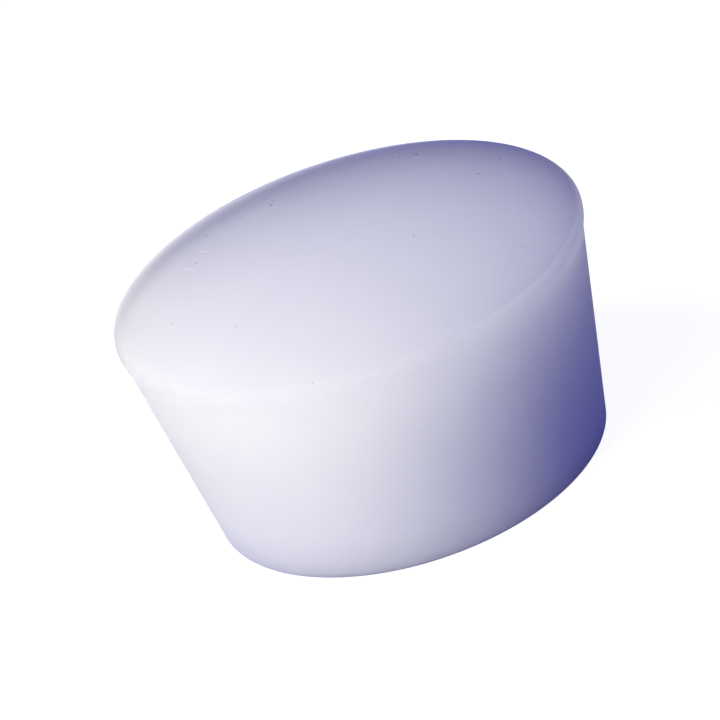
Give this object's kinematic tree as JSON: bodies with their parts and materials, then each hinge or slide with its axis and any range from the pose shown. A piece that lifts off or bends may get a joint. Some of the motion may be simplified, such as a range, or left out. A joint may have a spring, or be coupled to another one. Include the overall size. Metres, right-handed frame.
{
  "type": "tapered silicone plug",
  "caption": "Solid milky silicone plug with a straight taper, flat ends and a narrow land round the large end; pressed small end first into a round hole, it stops the hole by its taper.",
  "frame": {"origin": "centre of the small end's flat face, on which the plug stands", "axes": "+Z along the plug's axis, from the small end to the large end; the plug is round, so X and Y are free"},
  "size_m": [0.05, 0.05, 0.025],
  "materials": {
    "silicone": "milky translucent, satin"
  },
  "bodies": {
    "root": {"plug": "silicone"}
  },
  "joints": []
}
